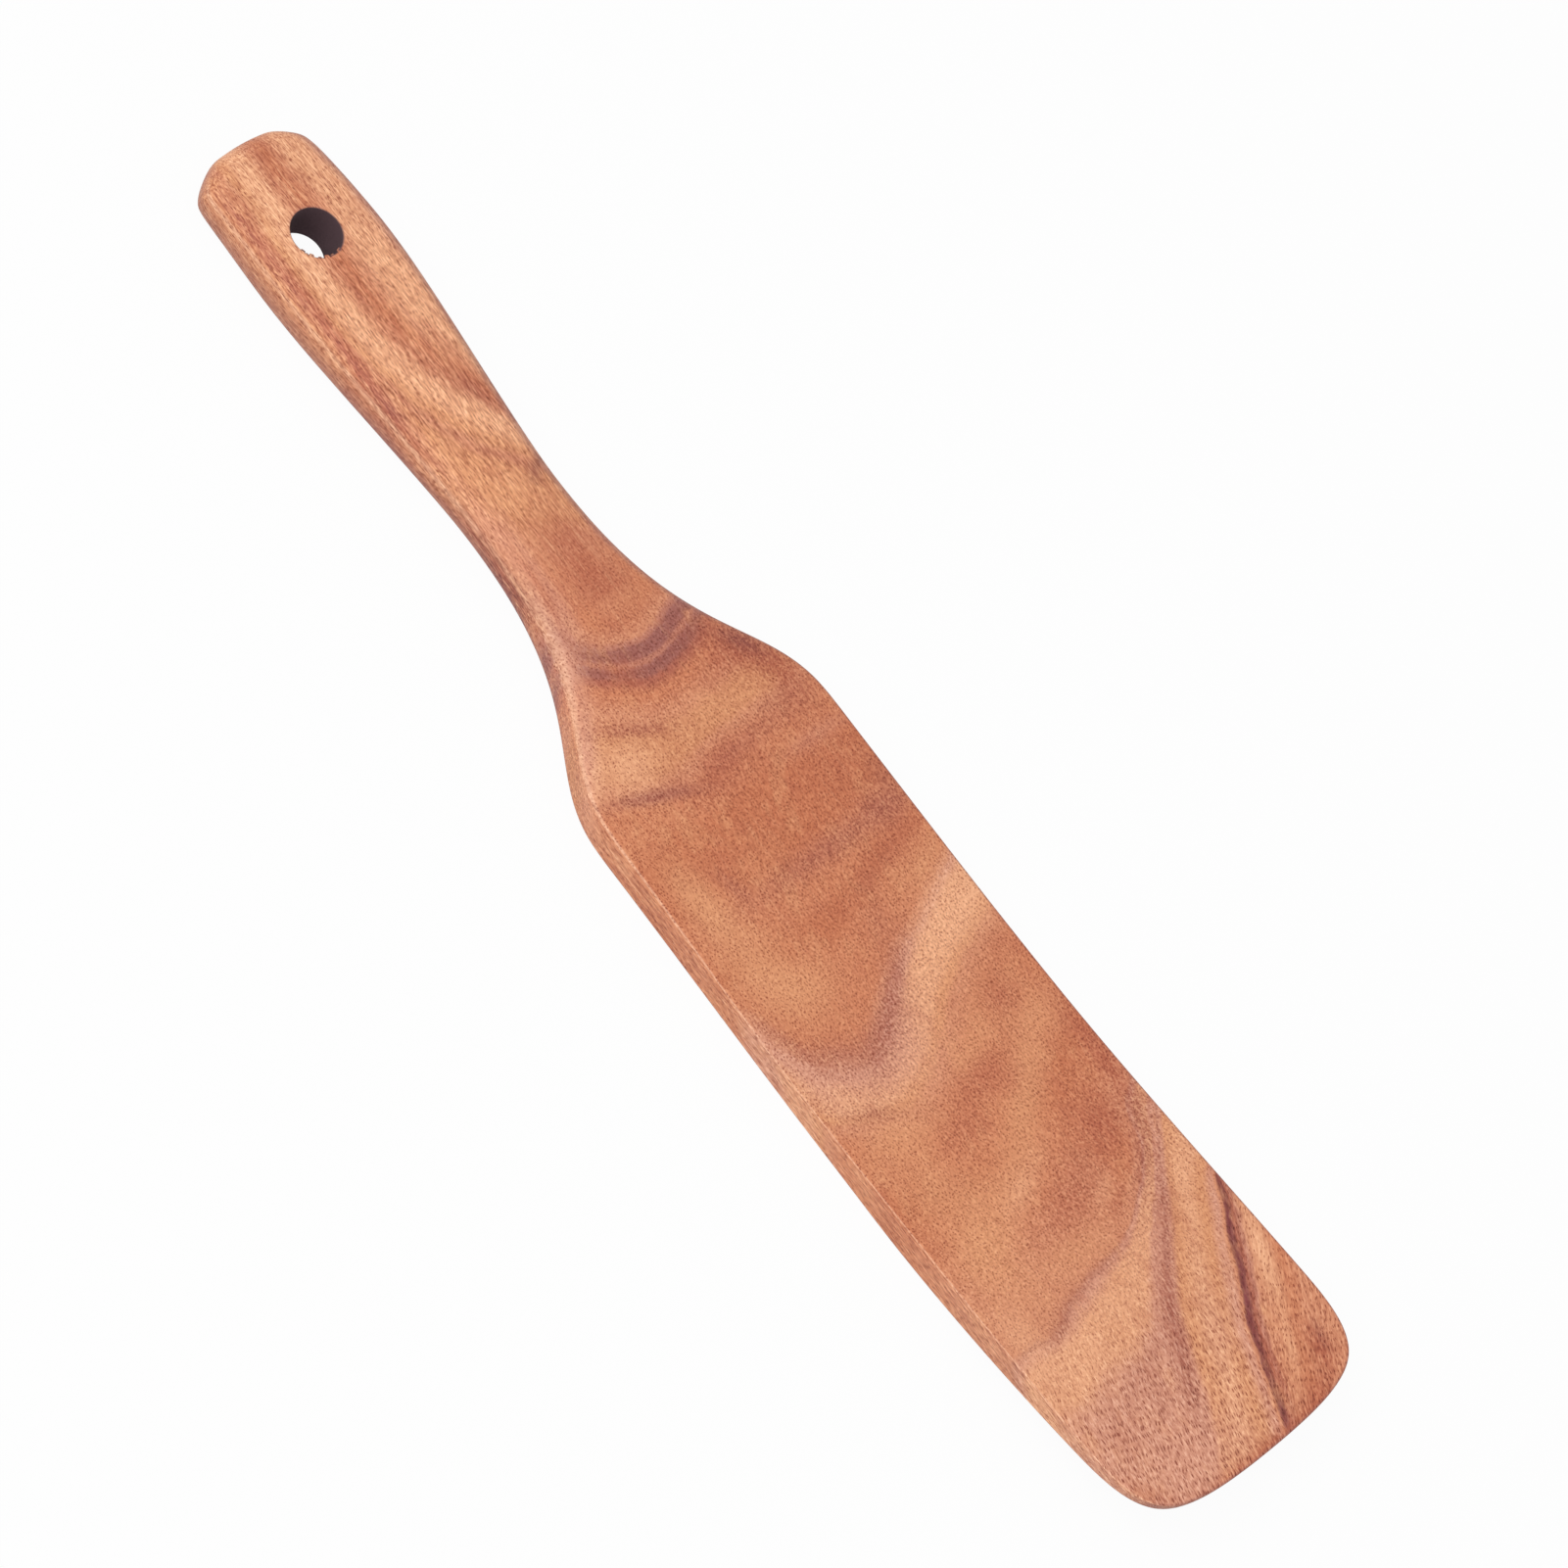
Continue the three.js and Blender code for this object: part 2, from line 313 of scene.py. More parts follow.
# Soft purple bands that the grain breaks into dots: the same numbers
DOTTED_BANDS = [
    (-80, -2, 11, 1.3, 33, 0.35),
    (-93, -7.6, 7, 1.1, 12, 0.3),
    (-44, -9.5, 12, 2, -8, 0.4),
    (-19.8, -10.8, 7, 1.2, 62, 0.6),
    (-8, -16, 9, 1.3, 68, 0.9),
    (-8.5, 17, 10, 2.6, 93, 0.45),
    (-7, 3, 9, 2, 93, 0.4),
    (17, 8, 18, 2.4, 91, 0.8),
    (16, 23, 4, 5, 0, 0.6),
    (13, -14, 4, 1.5, 15, 0.6),
    (-37, 0, 2, 9, 0, 0.25),
    (-28.5, 9, 1.6, 6, 8, 0.4),
    (88, 25, 6, 1.6, -32, 0.55),
    (25, 14, 14, 1.2, 102, 0.2),
    (34, 6, 7, 3, -25, 0.35),
    (45.5, -1.5, 12, 1.5, -52, 1),
    (49.5, -5, 9, 3.2, -55, 0.4),
    (48, -17.5, 6, 2.8, 62, 0.65),
    (50, -10.5, 5, 2.2, -70, 0.75),
    (42, -24, 9, 1.3, 22, 0.5),
    (60.5, -19.5, 6, 1.5, 65, 0.65),
    (96.5, 18.3, 10, 1.8, -47, 0.75),
    (106.5, -3, 13, 1.4, -85, 0.35),
    (110, -17.5, 5, 1.2, -65, 0.8),
    (105, 15.8, 10, 1.6, -42, 0.85),
    (117, 4.5, 8, 1.8, -42, 0.85),
    (125, -10, 12, 1.5, -72, 0.3),
    (127.5, -2, 9, 1.8, -33, 0.85),
    (131, -14, 12, 6, -72, 0.15),
]

# Tones of the oiled wood, as screen colours
SCREEN_WHITE = 255
TONES = {
    "cream": (238, 184, 150),
    "straw": (239, 175, 134),
    "pale": (231, 166, 126),
    "honey": (221, 152, 109),
    "rose": (217, 153, 126),
    "tan": (212, 140, 105),
    "ochre": (209, 138, 97),
    "amber": (205, 127, 90),
    "orange": (196, 115, 79),
    "russet": (182, 101, 73),
    "mauve": (190, 122, 100),
    "brick": (173, 97, 76),
    "plum": (158, 96, 86),
    "wine": (135, 70, 63),
    "ink": (120, 51, 53),
    "charcoal": (93, 71, 76),
}

# Tone of the wood at each ring, in three runs that meet end to end
RING_TONES = [
    [(-2, "tan"), (0, "rose"), (0.9, "pale"), (1.3, "pale"), (1.6, "tan"), (1.95, "amber"),
     (2.4, "tan"), (2.85, "straw"), (3.2, "straw"), (3.6, "honey"), (3.85, "tan"), (4.15, "honey"),
     (5.3, "honey"), (5.8, "tan"), (6.2, "amber"), (6.6, "tan"), (6.8, "mauve"), (6.98, "plum"),
     (7.45, "plum"), (7.58, "mauve"), (7.7, "mauve"), (7.84, "plum"), (8.1, "plum"), (8.26, "brick"),
     (8.55, "amber"), (8.9, "tan"), (9.2, "ochre"), (9.6, "ochre"), (9.85, "tan"), (10.2, "amber")],
    [(10.2, "amber"), (10.6, "amber"), (11, "orange"), (11.7, "orange"), (12.1, "amber"),
     (12.5, "amber"), (13, "orange"), (13.3, "amber"), (13.8, "amber"), (13.95, "tan"), (14.2, "rose"),
     (14.55, "pale"), (15.3, "pale"), (15.8, "honey"), (16.2, "tan"), (16.8, "amber"), (17.2, "amber"),
     (17.6, "orange"), (18, "amber"), (18.5, "tan")],
    [(18.5, "tan"), (18.85, "tan"), (19.1, "rose"), (19.5, "pale"), (20.2, "pale"), (20.5, "rose"),
     (20.85, "rose"), (21.15, "rose"), (21.5, "honey"), (22.3, "pale"), (23.1, "honey"), (23.7, "rose"),
     (23.9, "tan"), (23.98, "wine"), (24.06, "ink"), (24.15, "wine"), (24.25, "brick"), (24.4, "mauve"),
     (24.55, "tan"), (25.2, "amber"), (25.7, "tan"), (26.2, "tan"), (27, "amber")],
]

# Shade that a dark speck lays over the wood, and glow that a pale fleck gives it
SPECK_SHADE = (0.48, 0.3, 0.27, 1)
FLECK_GLOW = (1.3, 1.55, 1.65, 1)

# Dark growth lines: ring number, how far they reach on either side, and how dark they are
DARK_LINES = [
    (7.24, 0.2, 0.4),
    (7.98, 0.14, 0.3),
    (18.98, 0.13, 0.25),
    (21, 0.14, 0.3),
]

# Regions of the surface: where they start and end along the board, the ring beyond which the corner lies,
# and how near to the hole's radius the bore counts
WALL_START = SHOULDER_X - 15
HANDLE_FADE_START = WAIST_X - 10
HANDLE_FADE_END = SHOULDER_X - 20
TIPWARD_START = TIP_X - 60
TIPWARD_END = TIP_X - 10
CORNER_RING = 24
BORE_SLACK = 0.1

# Walls and edges, with painted shade on the far and lower edges and a painted highlight on the near edge:
# how far normals lean where each starts and where it is full, or how far off it ends
WALL_LEAN = (0.1, 0.6)
FAR_LEAN = (0.2, 0.65)
FAR_EDGE_LEAN = 0.6
FAR_EDGE_REACH = (0.1, 0.6)
LOWER_LEAN = (0.1, 0.7)
HANDLE_LOWER_LEAN = 0.5
ARRIS_LEAN = (0.25, 0.6)
RIDGE_SIDE_LEAN = (0.5, 0.8)
RIDGE_LEAN = 0.4
RIDGE_SPREAD = 0.12
# Painted light on each: paler walls, painted shade on the far and lower edges, and a painted highlight on
# the near edge; its strength and tone
PAINTED_LIGHT_TINTS = {"wall_and_painted_light": (0.15, "straw"), "edge": (0.6, "plum"), "arris_highlight": (0.6, "cream")}

# Fine grain: length, width and depth in millimetres, turn on the top face in degrees, detail, roughness
SHORT_GRAIN = (0.7, 0.45, 3, 0, 2.5, 0.65)
TURNED_GRAIN = (1.5, 0.42, 3, -15, 2.5, 0.65)
CORNER_GRAIN = (2, 0.4, 3, -33, 2.5, 0.65)
LONG_GRAIN = (2, 0.28, 0.28, 0, 2, 0.6)
# Other soft patterns, with the same numbers
WAVER = (6, 5, 6, 0, 2, 0.5)
STREAKS = (12, 0.7, 0.7, 0, 3, 0.6)
GOLD_CLOUDS = (9, 5, 9, -20, 4, 0.65)
RED_CLOUDS = (8, 5, 8, 15, 4, 0.65)

# Part of each pattern's range that shows, and how strongly
GRAIN_SPAN = (0.33, 0.67)
GRAIN_MIDDLE = 0.5
WAVER_SPAN = (0.2, 0.8)
RING_WAVER = 0.05
RING_DISSOLVE = 0.03
CLOUD_SPAN = (0.5, 0.7)
GOLD_STRENGTH = 0.45
RED_STRENGTH = 0.35
BLOTCH_BREAK = 0.3
DARK_STREAK_SPAN = (0.5, 0.75)
PALE_STREAK_SPAN = (0.5, 0.25)
BLADE_STREAKS = 0.15
HANDLE_STREAKS = 0.5
SPECK_STRENGTH = 0.5
FLECK_STRENGTH = 0.7
BLADE_SPECKS = 0.9
HANDLE_SPECKS = 1.25

# Dots that break up dark lines and bands: where the grain gives them, and their share in specks and flecks
DOT_SPAN = (0.1, 0.8)
DOT_SHARES = (0.9, 0.2)
LINE_BODY = 0.3
BAND_HAZE = 0.3

# Pores: length and width in millimetres, turn in degrees, and reach as a share of the gap between them
SHORT_PORES = (0.7, 0.42, 0, 0.38)
TURNED_PORES = (1.6, 0.42, -18, 0.38)
CORNER_PORES = (1.4, 0.4, -33, 0.3)
LONG_PORES = (1.2, 0.22, 0, 0.48)
PORE_CORE = 0.16
PORE_CHANCE = (0.1, 0.9)
SWAY_SIZE = 4
SWAY = 1.6

# Finish of the oiled surface
GRAIN_RELIEF = 0.6
BUMP_STRENGTH = 0.25
BUMP_DEPTH = 0.15
WOOD_ROUGHNESS = 0.46
PORE_ROUGHNESS = 0.62
BORE_ROUGHNESS = 0.9
WOOD_SHINE = 0.3

# Camera: the photograph's viewing direction and framing
VIEW_AZIMUTH = math.radians(8.1)
VIEW_ELEVATION = math.radians(55.7)
VIEW_TURN = math.radians(52.2)
VIEW_DISTANCE = 1184
VIEW_CENTRE = Vector((0, 0, 4))
VIEW_SHIFT_RIGHT = 8.4
VIEW_SHIFT_UP = 2.87
FRAME_WIDTH = 282.4
SENSOR_WIDTH = 36

# Stage, in metres and watts: a floor that shows nearly white and keeps the shadow, a white world
# and one soft box
FLOOR_SIZE = 6
FLOOR_COLOUR = (0.75, 0.75, 0.75, 1)
FLOOR_WHITENESS = 0.95
WHITE = (1, 1, 1, 1)
WORLD_STRENGTH = 0.572
SOFT_BOX_SIZE = (1.4, 1.0)
SOFT_BOX_POWER = 13.1
SOFT_BOX_PLACE = (-0.35, -0.75, 1.15)


# Shape of the board

def bezier(points, shares):
    """Points of a cubic curve at these shares of its run, one row each."""
    start, first_pull, last_pull, end = np.array(points, float)
    share = np.array(shares, float)[:, None]
    rest = 1 - share
    return (rest ** 3 * start + 3 * rest ** 2 * share * first_pull
            + 3 * rest * share ** 2 * last_pull + share ** 3 * end)


def smooth_step(value, low, high):
    share = np.clip((np.asarray(value, float) - low) / (high - low), 0, 1)
    return share * share * (3 - 2 * share)


def outline_curves():
    """Curves of the far side's outline, from the middle of the handle end to the middle of the tip."""
    end_slope = (GRIP_HALF_WIDTH - END_HALF_WIDTH) / (GRIP_X - END_CORNER_X)
    end_corner = (END_CORNER_X, END_HALF_WIDTH)
    grip = (GRIP_X, GRIP_HALF_WIDTH)
    waist = (WAIST_X, WAIST_HALF_WIDTH)
    shoulder = (SHOULDER_X, SHOULDER_HALF_WIDTH)
    blade = (BLADE_X, BLADE_HALF_WIDTH)
    tip_corner = (TIP_CORNER_X, TIP_HALF_WIDTH)
    return {
        "end": [
            (END_X, 0),
            (END_X, END_FLATNESS),
            (END_CORNER_X - END_CORNER_PULL, END_HALF_WIDTH - end_slope * END_CORNER_PULL),
            end_corner,
        ],
        "grip": [
            end_corner,
            (END_CORNER_X + END_CORNER_DEPTH, END_HALF_WIDTH + end_slope * END_CORNER_DEPTH),
            (GRIP_X - END_CORNER_DEPTH, GRIP_HALF_WIDTH),
            grip,
        ],
        "neck": [
            grip,
            (GRIP_X + HANDLE_EASE, GRIP_HALF_WIDTH),
            (WAIST_X - HANDLE_EASE, WAIST_HALF_WIDTH),
            waist,
        ],
        "flare": [
            waist,
            (WAIST_X + WAIST_EASE, WAIST_HALF_WIDTH),
            (SHOULDER_X - SHOULDER_EASE, SHOULDER_HALF_WIDTH),
            shoulder,
        ],
        "blade": [
            shoulder,
            (SHOULDER_X + BLADE_EASE, SHOULDER_HALF_WIDTH),
            (BLADE_X - BLADE_EASE, BLADE_HALF_WIDTH),
            blade,
        ],
        "tip side": [
            blade,
            (BLADE_X + BLADE_EASE, BLADE_HALF_WIDTH),
            (TIP_CORNER_X - BLADE_EASE, TIP_HALF_WIDTH),
            tip_corner,
        ],
        "tip": [
            tip_corner,
            (TIP_CORNER_X + TIP_CORNER_PULL, TIP_HALF_WIDTH),
            (TIP_X, TIP_FLATNESS),
            (TIP_X, 0),
        ],
    }


def column_places():
    """Where each column of the blank meets the far side: x along the board, and the half width there."""
    curves = outline_curves()
    places = []
    for name, steps in COLUMNS.items():
        first = END_CORNER_SHARE if name == "end" else 0
        last = TIP_CORNER_SHARE if name == "tip" else 1
        shares = np.linspace(first, last, steps + 1)
        places.extend(bezier(curves[name], shares if name == "tip" else shares[:-1]))
    return np.array(places)


def row_shares(x):
    """Where the rows lie across the board, as shares of the half width."""
    fade = smooth_step(x, WAIST_X, SHOULDER_X)
    return (1 - fade) * np.array(HANDLE_ROWS) + fade * np.array(BLADE_ROWS)


def end_line(curve, x, half_width):
    """Where the rounded end of the board lies along X, at each row."""
    line = bezier(curve, np.linspace(0, 1, CURVE_STEPS))
    line = line[np.argsort(line[:, 1])]
    across = np.abs(row_shares(x)) * half_width
    return np.interp(across, line[:, 1], line[:, 0])


def top_height(x):
    """Height of the top face along its edges: a smooth curve through the stations."""
    stations = np.array(TOP_STATIONS, float)
    heights = np.array(TOP_HEIGHTS, float)
    slopes = np.zeros(len(stations))
    slopes[1:-1] = (heights[2:] - heights[:-2]) / (stations[2:] - stations[:-2])
    secants = np.diff(heights) / np.diff(stations)
    slopes[0] = (3 * secants[0] - slopes[1]) / 2
    slopes[-1] = (3 * secants[-1] - slopes[-2]) / 2
    x = np.clip(x, stations[0], stations[-1])
    at = np.clip(np.searchsorted(stations, x) - 1, 0, len(stations) - 2)
    span = stations[at + 1] - stations[at]
    share = (x - stations[at]) / span
    rest = 1 - share
    return (heights[at] * (1 + 2 * share) * rest ** 2 + heights[at + 1] * (3 - 2 * share) * share ** 2
            + span * slopes[at] * share * rest ** 2 - span * slopes[at + 1] * rest * share ** 2)


def back_height(x):
    """Height of the back, flat until it sweeps up to meet the thin tip."""
    along = np.clip((np.asarray(x, float) - (TIP_X - TIP_RISE_LENGTH)) / TIP_RISE_LENGTH, 0, 1)
    return (TOP_HEIGHTS[-1] - TIP_THICKNESS) * along ** TIP_RISE_CURVE


def top_crown(x):
    """How far the middle of the top face stands above its edges."""
    handle = GRIP_CROWN + (NECK_CROWN - GRIP_CROWN) * smooth_step(x, GRIP_X, WAIST_X)
    return handle * (1 - smooth_step(x, WAIST_X, BLADE_X))


def edge_size(x):
    """Size of the rounding of the long edges, which fades along the flare."""
    fade = smooth_step(x, WAIST_X + ROUNDING_DELAY, SHOULDER_X)
    size = HANDLE_EDGE + (BLADE_EDGE - HANDLE_EDGE) * fade
    return np.minimum(size, EDGE_SHARE_OF_WALL * (top_height(x) - back_height(x)))


# Modelling

def pick(piece, chosen):
    """Selects these vertices and nothing else, in edit mode."""
    shape = bmesh.from_edit_mesh(piece.data)
    for vertex in shape.verts:
        vertex.select_set(vertex.index in chosen)
    shape.select_flush_mode()
    bmesh.update_edit_mesh(piece.data)


def slide(x, y, z):
    bpy.ops.transform.translate(value=(x * MM, y * MM, z * MM))


def apply_modifier(piece, kind, **settings):
    modifier = piece.modifiers.new(kind.title(), kind)
    for name, value in settings.items():
        setattr(modifier, name, value)
    bpy.ops.object.modifier_apply(modifier=modifier.name)


def lay_out_blank():
    """A flat grid whose rows and columns are drawn out to the outline and crowned."""
    columns = column_places()
    count = len(columns)
    rows = len(HANDLE_ROWS)
    bpy.ops.object.select_all(action="DESELECT")
    bpy.ops.mesh.primitive_grid_add(x_subdivisions=count - 1, y_subdivisions=rows - 1, size=2 * MM)
    piece = bpy.context.object
    piece.name = "carved_spatula"
    bpy.ops.object.mode_set(mode="EDIT")
    bpy.ops.mesh.select_mode(type="VERT")
    even_rows = np.linspace(-1, 1, rows)
    even_columns = np.linspace(-1, 1, count)
    for column, (x, half_width) in enumerate(columns):
        for row, share in enumerate(row_shares(x)):
            along = x - even_columns[column]
            across = share * half_width - even_rows[row]
            pick(piece, {row * count + column})
            slide(along, across, (1 - share ** 2) * top_crown(x))
    curves = outline_curves()
    bow_end(piece, columns, end_line(curves["end"], *columns[0]), columns[0, 0], END_BOW_REACH)
    bow_end(piece, columns, end_line(curves["tip"], *columns[-1]), columns[-1, 0], TIP_BOW_REACH)
    swell_outline(piece)
    far_row = rows - 1
    for column, across in SANDED_CORNER:
        pick(piece, {far_row * count + column})
        slide(0, across, 0)
    return piece


def bow_end(piece, columns, line, corner_x, reach):
    """Bows the columns near one end, so that the last one follows the end's rounded line."""
    count = len(columns)
    for column, (x, _) in enumerate(columns):
        fade = max(0, 1 - abs(x - corner_x) / reach) ** 2
        if fade == 0:
            continue
        for row, end_x in enumerate(line):
            pick(piece, {row * count + column})
            slide((end_x - corner_x) * fade, 0, 0)


def swell_outline(piece):
    """Moves the outline's points out by as much as the later smoothing draws them in."""
    moves = {}
    for vertex in bmesh.from_edit_mesh(piece.data).verts:
        if vertex.is_boundary:
            beside = [edge.other_vert(vertex).co for edge in vertex.link_edges if edge.is_boundary]
            move = (vertex.co - (beside[0] + beside[1]) / 2) * SMOOTHING_PULL
            rounding = float(edge_size(vertex.co.x / MM)) - BLADE_EDGE
            move.y += math.copysign(EDGE_SWELL * max(0, rounding) * MM, vertex.co.y)
            moves[vertex.index] = move
    for index, move in moves.items():
        pick(piece, {index})
        bpy.ops.transform.translate(value=(move.x, move.y, 0))


def thicken_blank(piece):
    """Extrudes the sheet to a board and lifts both faces to their heights, one place along X at a time."""
    bpy.ops.mesh.select_all(action="SELECT")
    depth = -BLANK_DEPTH * MM
    bpy.ops.mesh.extrude_region_move(TRANSFORM_OT_translate={"value": (0, 0, depth)})
    bpy.ops.transform.resize(value=(1, 1, 0), center_override=(0, 0, depth))
    places = {}
    for vertex in bmesh.from_edit_mesh(piece.data).verts:
        upper = vertex.co.z > depth / 2
        places.setdefault((round(vertex.co.x / MM, 3), upper), set()).add(vertex.index)
    for (x, upper), chosen in places.items():
        pick(piece, chosen)
        slide(0, 0, float(top_height(x) if upper else back_height(x) + BLANK_DEPTH))
    bpy.ops.mesh.select_all(action="SELECT")
    bpy.ops.mesh.normals_make_consistent(inside=False)
    bpy.ops.object.mode_set(mode="OBJECT")


def weigh_edges(piece):
    """Gives each long edge the share of the largest rounding that it gets."""
    shape = bmesh.new()
    shape.from_mesh(piece.data)
    weights = np.zeros(len(shape.edges), np.float32)
    for edge in shape.edges:
        if edge.calc_face_angle() > SHARP_ANGLE:
            middle = (edge.verts[0].co.x + edge.verts[1].co.x) / 2 / MM
            weights[edge.index] = edge_size(middle) / HANDLE_EDGE
    shape.free()
    layer = piece.data.attributes.new("bevel_weight_edge", "FLOAT", "EDGE")
    layer.data.foreach_set("value", weights)


def round_edges(piece):
    """Bevels the long edges by their own sizes, then holds both faces flat up to the bevel."""
    weigh_edges(piece)
    for _ in range(BEVEL_SLOT + 1):
        piece.data.materials.append(None)
    apply_modifier(
        piece, "BEVEL", limit_method="WEIGHT", width=HANDLE_EDGE * MM, segments=EDGE_SEGMENTS,
        use_clamp_overlap=False, material=BEVEL_SLOT)
    bpy.ops.object.mode_set(mode="EDIT")
    bpy.ops.mesh.select_mode(type="FACE")
    bpy.ops.mesh.select_all(action="DESELECT")
    shape = bmesh.from_edit_mesh(piece.data)
    for face in shape.faces:
        face.select_set(face.material_index != BEVEL_SLOT and abs(face.normal.z) > FACE_TILT)
    bmesh.update_edit_mesh(piece.data)
    bpy.ops.mesh.inset(thickness=EDGE_SUPPORT * MM)
    bpy.ops.object.mode_set(mode="OBJECT")
    apply_modifier(piece, "SUBSURF", levels=SUBDIVISIONS, render_levels=SUBDIVISIONS)


def make_drill(height):
    """A drill with flared ends, which ease both rims, and notches for the upper rim's torn fibres."""
    flare = HOLE_EASE + HOLE_OVERCUT
    rim = height - HOLE_EASE
    bpy.ops.object.select_all(action="DESELECT")
    bpy.ops.mesh.primitive_cylinder_add(
        vertices=HOLE_SIDES, radius=HOLE_RADIUS * MM, depth=(rim - TORN_DEPTH - HOLE_EASE) * MM,
        location=(HOLE_X * MM, HOLE_Y * MM, (rim - TORN_DEPTH + HOLE_EASE) / 2 * MM))
    drill = bpy.context.object
    bpy.ops.object.transform_apply(location=True)
    bpy.ops.object.mode_set(mode="EDIT")
    bpy.ops.mesh.select_mode(type="FACE")
    for direction, lift, spread in ((-1, flare, flare), (1, TORN_DEPTH, 0), (1, flare, flare)):
        shape = bmesh.from_edit_mesh(drill.data)
        for face in shape.faces:
            face.select_set(face.normal.z * direction > CAP_TILT)
        bmesh.update_edit_mesh(drill.data)
        bpy.ops.mesh.extrude_region_move(TRANSFORM_OT_translate={"value": (0, 0, direction * lift * MM)})
        share = 1 + spread / HOLE_RADIUS
        bpy.ops.transform.resize(value=(share, share, 1), center_override=(HOLE_X * MM, HOLE_Y * MM, 0))
    bpy.ops.mesh.select_mode(type="VERT")
    for direction, half_width, reach in TORN_FIBRES:
        chosen = set()
        for vertex in bmesh.from_edit_mesh(drill.data).verts:
            x, y, z = vertex.co / MM
            angle = math.degrees(math.atan2(y - HOLE_Y, x - HOLE_X))
            if abs(angle - direction) < half_width and z > rim - TORN_DEPTH / 2:
                chosen.add(vertex.index)
        pick(drill, chosen)
        turn = math.radians(direction)
        slide(-reach * math.cos(turn), -reach * math.sin(turn), 0)
    bpy.ops.object.mode_set(mode="OBJECT")
    return drill


def drill_hole(piece):
    """Cuts the hanging hole through the board."""
    drill = make_drill(float(top_height(HOLE_X) + top_crown(HOLE_X)))
    bpy.ops.object.select_all(action="DESELECT")
    piece.select_set(True)
    bpy.context.view_layer.objects.active = piece
    apply_modifier(piece, "BOOLEAN", operation="DIFFERENCE", object=drill, solver="EXACT")
    bpy.data.objects.remove(drill)


def carve_spatula():
    piece = lay_out_blank()
    thicken_blank(piece)
    round_edges(piece)
    drill_hole(piece)
    bpy.ops.object.shade_smooth_by_angle(angle=SMOOTH_ANGLE)
    return piece


# Figure of the wood, and painted light and shade on its walls and edges

def thin_plate(distance):
    """Pull of one point of the sheet on another, by the distance between them."""
    squared = np.maximum(distance ** 2, LEAST_SQUARE)
    return squared * np.log(squared)


def growth_rings(places):
    """Ring number at places on the top face: a smooth sheet drawn through the growth lines."""
    known = np.array([point for _, line in GROWTH_LINES for point in line], float) / FIELD_SCALE
    rings = np.array([ring for ring, line in GROWTH_LINES for _ in line], float)
    count = len(known)
    gaps = np.linalg.norm(known[:, None] - known[None], axis=2)
    plane = np.column_stack([np.ones(count), known])
    system = np.zeros((count + 3, count + 3))
    system[:count, :count] = thin_plate(gaps) + FIELD_SLACK * np.eye(count)
    system[:count, count:] = plane
    system[count:, :count] = plane.T
    pulls = np.linalg.solve(system, np.append(rings, np.zeros(3)))
    wanted = places / FIELD_SCALE
    gaps = np.linalg.norm(wanted[:, None] - known[None], axis=2)
    plane = np.column_stack([np.ones(len(wanted)), wanted])
    return thin_plate(gaps) @ pulls[:count] + plane @ pulls[count:]


def blotch_strength(places, blotch):
    """How strongly one soft-edged blotch shows at these places."""
    x, y, half_length, half_width, turn, strength = blotch
    offset = places - np.array((x, y))
    angle = math.radians(turn)
    along = offset @ np.array((math.cos(angle), math.sin(angle))) / half_length
    across = offset @ np.array((-math.sin(angle), math.cos(angle))) / half_width
    return strength * np.exp(-along ** 2 - across ** 2)


def store(piece, name, values):
    layer = piece.data.attributes.new(name, "FLOAT", "POINT")
    layer.data.foreach_set("value", np.asarray(values, np.float32))


def way_to(spots, chosen):
    """How far each spot lies from the nearest of the chosen ones."""
    tree = KDTree(int(chosen.sum()))
    for index, spot in enumerate(spots[chosen]):
        tree.insert(spot, index)
    tree.balance()
    return np.array([tree.find(spot)[2] for spot in spots])


def read_vectors(piece, name):
    """Places or normals of all the points, one row each."""
    values = np.zeros(len(piece.data.vertices) * 3)
    piece.data.vertices.foreach_get(name, values)
    return values.reshape(-1, 3)


def painted(places, blotches):
    """How strongly these blotches show together, from 0 to 1."""
    strengths = [blotch_strength(places, blotch) for blotch in blotches]
    return np.clip(np.sum(strengths, axis=0), 0, 1)


def handle_share(x):
    """1 on the handle, fading to 0 along the flare."""
    return 1 - smooth_step(x, HANDLE_FADE_START, HANDLE_FADE_END)


def mark_regions(piece, x, wall_and_painted_light):
    """Stores where the blade's walls lie, which are painted paler as if lit, where the grain runs long, and
    where it turns towards the tip.
    """
    # Painted light: this mask makes the blade's walls paler
    store(piece, "wall_and_painted_light", wall_and_painted_light * smooth_step(x, WALL_START, SHOULDER_X))
    store(piece, "streaky", np.maximum(handle_share(x), smooth_step(wall_and_painted_light, *WALL_LEAN)))
    store(piece, "tipward", smooth_step(x, TIPWARD_START, TIPWARD_END))


def mark_painted_edge_light(piece, spots, normals, bore):
    """Stores painted shade on the far and lower edges, where they turn away from the light, and a painted
    highlight on the near edge of the top face.
    """
    along, across, up = normals.T
    handle = handle_share(spots[:, 0])
    # Painted shade: where the normal leans to the far side or down, and in a thin outline along the far
    # edge
    far = np.maximum(along, across)
    lower = HANDLE_LOWER_LEAN * handle - up
    from_far_edge = way_to(spots, far > FAR_EDGE_LEAN)
    edge = np.maximum(smooth_step(far, *FAR_LEAN), smooth_step(lower, *LOWER_LEAN))
    edge = np.maximum(edge, 1 - smooth_step(from_far_edge, *FAR_EDGE_REACH))
    store(piece, "edge", np.where(bore, 0, edge))
    # Painted highlight: a pale line on the blade's near arris and on the ridge of the handle's near
    # rounding
    arris_highlight = smooth_step(-across, *ARRIS_LEAN) * smooth_step(up, *ARRIS_LEAN)
    ridge_highlight = np.exp(-((up - RIDGE_LEAN) / RIDGE_SPREAD) ** 2) * smooth_step(-across, *RIDGE_SIDE_LEAN)
    store(piece, "arris_highlight", np.where(bore, 0, arris_highlight * (1 - handle) + ridge_highlight * handle))


